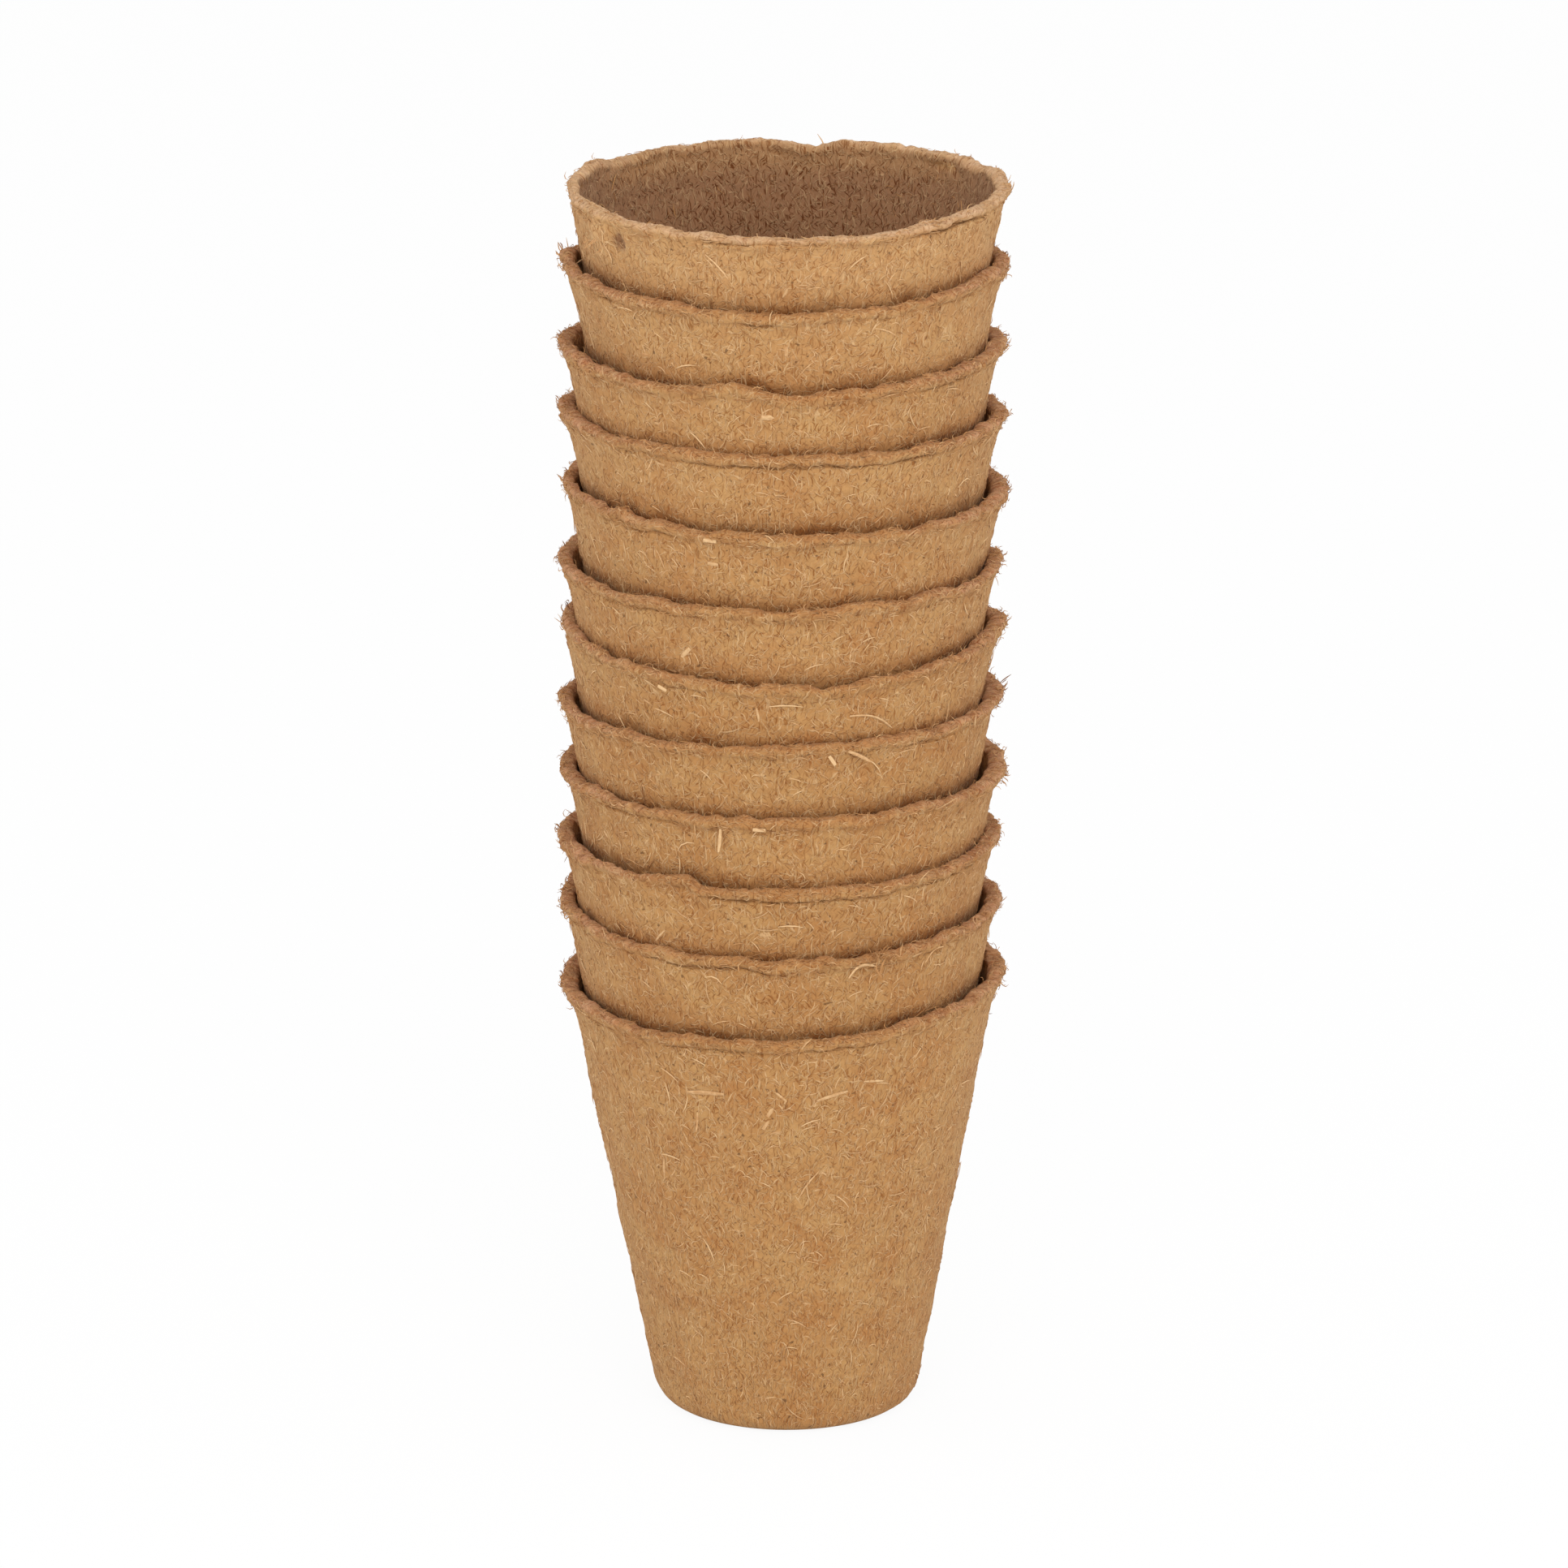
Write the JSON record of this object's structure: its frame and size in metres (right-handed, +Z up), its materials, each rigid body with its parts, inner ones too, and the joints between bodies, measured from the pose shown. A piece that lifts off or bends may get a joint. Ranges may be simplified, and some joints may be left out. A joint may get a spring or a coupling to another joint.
{
  "type": "stack of peat pots",
  "caption": "Stack of round pressed-fibre seedling pots nested in one another, each a thin tapered cup with a flared uneven lip and a drain hole, free to lift out",
  "frame": {"origin": "centre of the bottom pot's underside, on the surface that the stack stands on", "axes": "+Z up along the pots' axes, +X to the right and -Y towards the viewer of the picture"},
  "size_m": [0.0811, 0.0807, 0.2303],
  "materials": {
    "pressed_fibre": "rough pressed peat and wood fibre, matt, with loose fibres and straw flecks"
  },
  "bodies": {
    "pot_01": {"pot_01": "pressed_fibre"},
    "pot_02": {"pot_02": "pressed_fibre"},
    "pot_03": {"pot_03": "pressed_fibre"},
    "pot_04": {"pot_04": "pressed_fibre"},
    "pot_05": {"pot_05": "pressed_fibre"},
    "pot_06": {"pot_06": "pressed_fibre"},
    "pot_07": {"pot_07": "pressed_fibre"},
    "pot_08": {"pot_08": "pressed_fibre"},
    "pot_09": {"pot_09": "pressed_fibre"},
    "pot_10": {"pot_10": "pressed_fibre"},
    "pot_11": {"pot_11": "pressed_fibre"},
    "pot_12": {"pot_12": "pressed_fibre"}
  },
  "joints": [
    {"name": "pot_02_lift", "type": "slide", "parent": "pot_01", "child": "pot_02", "axis": [0, 0, 1], "range_m": [0, 0.09]},
    {"name": "pot_03_lift", "type": "slide", "parent": "pot_02", "child": "pot_03", "axis": [0, 0, 1], "range_m": [0, 0.09]},
    {"name": "pot_04_lift", "type": "slide", "parent": "pot_03", "child": "pot_04", "axis": [0, 0, 1], "range_m": [0, 0.09]},
    {"name": "pot_05_lift", "type": "slide", "parent": "pot_04", "child": "pot_05", "axis": [0, 0, 1], "range_m": [0, 0.09]},
    {"name": "pot_06_lift", "type": "slide", "parent": "pot_05", "child": "pot_06", "axis": [0, 0, 1], "range_m": [0, 0.09]},
    {"name": "pot_07_lift", "type": "slide", "parent": "pot_06", "child": "pot_07", "axis": [0, 0, 1], "range_m": [0, 0.09]},
    {"name": "pot_08_lift", "type": "slide", "parent": "pot_07", "child": "pot_08", "axis": [0, 0, 1], "range_m": [0, 0.09]},
    {"name": "pot_09_lift", "type": "slide", "parent": "pot_08", "child": "pot_09", "axis": [0, 0, 1], "range_m": [0, 0.09]},
    {"name": "pot_10_lift", "type": "slide", "parent": "pot_09", "child": "pot_10", "axis": [0, 0, 1], "range_m": [0, 0.09]},
    {"name": "pot_11_lift", "type": "slide", "parent": "pot_10", "child": "pot_11", "axis": [0, 0, 1], "range_m": [0, 0.09]},
    {"name": "pot_12_lift", "type": "slide", "parent": "pot_11", "child": "pot_12", "axis": [0, 0, 1], "range_m": [0, 0.09]}
  ]
}
